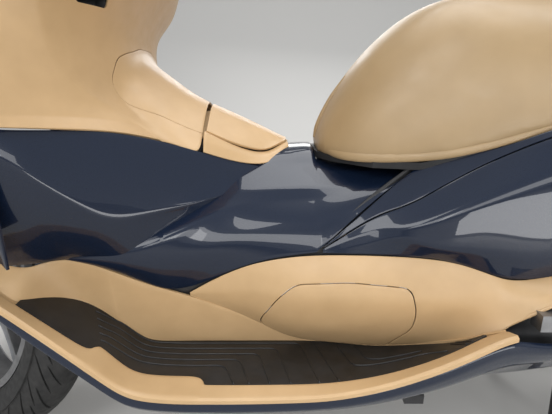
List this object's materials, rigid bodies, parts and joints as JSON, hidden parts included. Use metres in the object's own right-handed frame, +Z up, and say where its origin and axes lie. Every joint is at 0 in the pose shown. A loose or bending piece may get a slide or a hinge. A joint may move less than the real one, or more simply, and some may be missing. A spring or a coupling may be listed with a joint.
{
  "type": "motor scooter",
  "caption": "Step-through maxi scooter on its centre stand, with turning wheels, steering, opening seat and lids, stands and folding pegs.",
  "frame": {"origin": "on the ground, under the middle of the whole machine's length and width", "axes": "-X towards the front wheel, -Y to the rider's left, +Z up"},
  "size_m": [2.1178, 0.756, 1.44],
  "materials": {
    "gloss_body": "gloss dark navy paint",
    "matte_tan": "satin tan",
    "black_plastic": "grained black",
    "seat_cover": "smooth tan vinyl",
    "mat_rubber": "ribbed",
    "tyre_rubber": "matte",
    "cast_alloy": "painted silver",
    "disc_steel": "ground",
    "frame_steel": "black enamel",
    "engine_alloy": "cast grey",
    "screen": "clear",
    "lamp_lens": "clear",
    "amber_lens": "amber",
    "red_lens": "red",
    "bright_metal": "polished",
    "plate_white": "blank white"
  },
  "bodies": {
    "body": {"frame": "frame_steel", "front_fairing": "gloss_body", "headlamps": "lamp_lens", "front_indicators": "amber_lens", "windscreen": "screen", "dash": "black_plastic", "mirrors": "black_plastic", "inner_cowl": "black_plastic", "leg_shield": "matte_tan", "side_fairings": "gloss_body", "spine_cover": "matte_tan", "fuel_cap": "black_plastic", "centre_cover": "gloss_body", "side_panels": "matte_tan", "service_lids": "matte_tan", "footboards": "matte_tan", "floor_mats": "mat_rubber", "lower_cowls": "gloss_body", "rear_covers": "gloss_body", "storage_box": "black_plastic", "engine_unit": "engine_alloy", "exhaust": "bright_metal", "shocks": "frame_steel", "rear_fender": "black_plastic", "number_plate": "plate_white", "tail_lamp": "red_lens", "grab_rail": "cast_alloy"},
    "steering": {"fork": "frame_steel", "front_mudguard": "gloss_body", "front_caliper": "cast_alloy", "handlebar": "frame_steel", "grips": "mat_rubber", "handlebar_cover": "black_plastic"},
    "front_wheel": {"front_tyre": "tyre_rubber", "front_rim": "cast_alloy", "front_disc": "disc_steel"},
    "rear_wheel": {"rear_tyre": "tyre_rubber", "rear_rim": "cast_alloy", "rear_disc": "disc_steel"},
    "seat": {"seat": "seat_cover", "seat_base": "black_plastic"},
    "fuel_lid": {"fuel_lid": "matte_tan"},
    "glove_lid": {"glove_lid": "matte_tan"},
    "centre_stand": {"centre_stand": "frame_steel"},
    "side_stand": {"side_stand": "frame_steel"},
    "peg_left": {"peg_left": "cast_alloy"},
    "peg_right": {"peg_right": "cast_alloy"}
  },
  "joints": [
    {"name": "steering_turn", "type": "hinge", "parent": "body", "child": "steering", "pos_m": [-0.89813, 0, 0], "axis": [0.4462, 0, 0.8949], "range_deg": [0, 70]},
    {"name": "front_wheel_spin", "type": "hinge", "parent": "steering", "child": "front_wheel", "pos_m": [-0.80247, 0.02359, 0.26736], "axis": [0.5133, 0.8192, -0.2559], "continuous": true},
    {"name": "rear_wheel_spin", "type": "hinge", "parent": "body", "child": "rear_wheel", "pos_m": [0.70087, 0, 0.291], "axis": [0, 1, 0], "continuous": true},
    {"name": "seat_opening", "type": "hinge", "parent": "body", "child": "seat", "pos_m": [-0.14513, 0, 0.592], "axis": [0, -1, 0], "range_deg": [0, 50]},
    {"name": "fuel_lid_opening", "type": "hinge", "parent": "body", "child": "fuel_lid", "pos_m": [-0.32213, 0, 0.668], "axis": [0, -1, 0], "range_deg": [0, 100]},
    {"name": "glove_lid_opening", "type": "hinge", "parent": "body", "child": "glove_lid", "pos_m": [-0.4866, -0.26919, 0.847], "axis": [0.6882, 0.7256, 0], "range_deg": [0, 80]},
    {"name": "centre_stand_swing", "type": "hinge", "parent": "body", "child": "centre_stand", "pos_m": [0.37087, 0, 0.2], "axis": [0, -1, 0], "range_deg": [0, 82]},
    {"name": "side_stand_swing", "type": "hinge", "parent": "body", "child": "side_stand", "pos_m": [-0.15913, -0.152, 0.188], "axis": [0, 0.891, -0.454], "range_deg": [0, 100]},
    {"name": "peg_left_fold", "type": "hinge", "parent": "body", "child": "peg_left", "pos_m": [0.30287, -0.254, 0.372], "axis": [0, 0, 1], "range_deg": [0, 90]},
    {"name": "peg_right_fold", "type": "hinge", "parent": "body", "child": "peg_right", "pos_m": [0.30287, 0.254, 0.372], "axis": [0, 0, -1], "range_deg": [0, 90]}
  ]
}
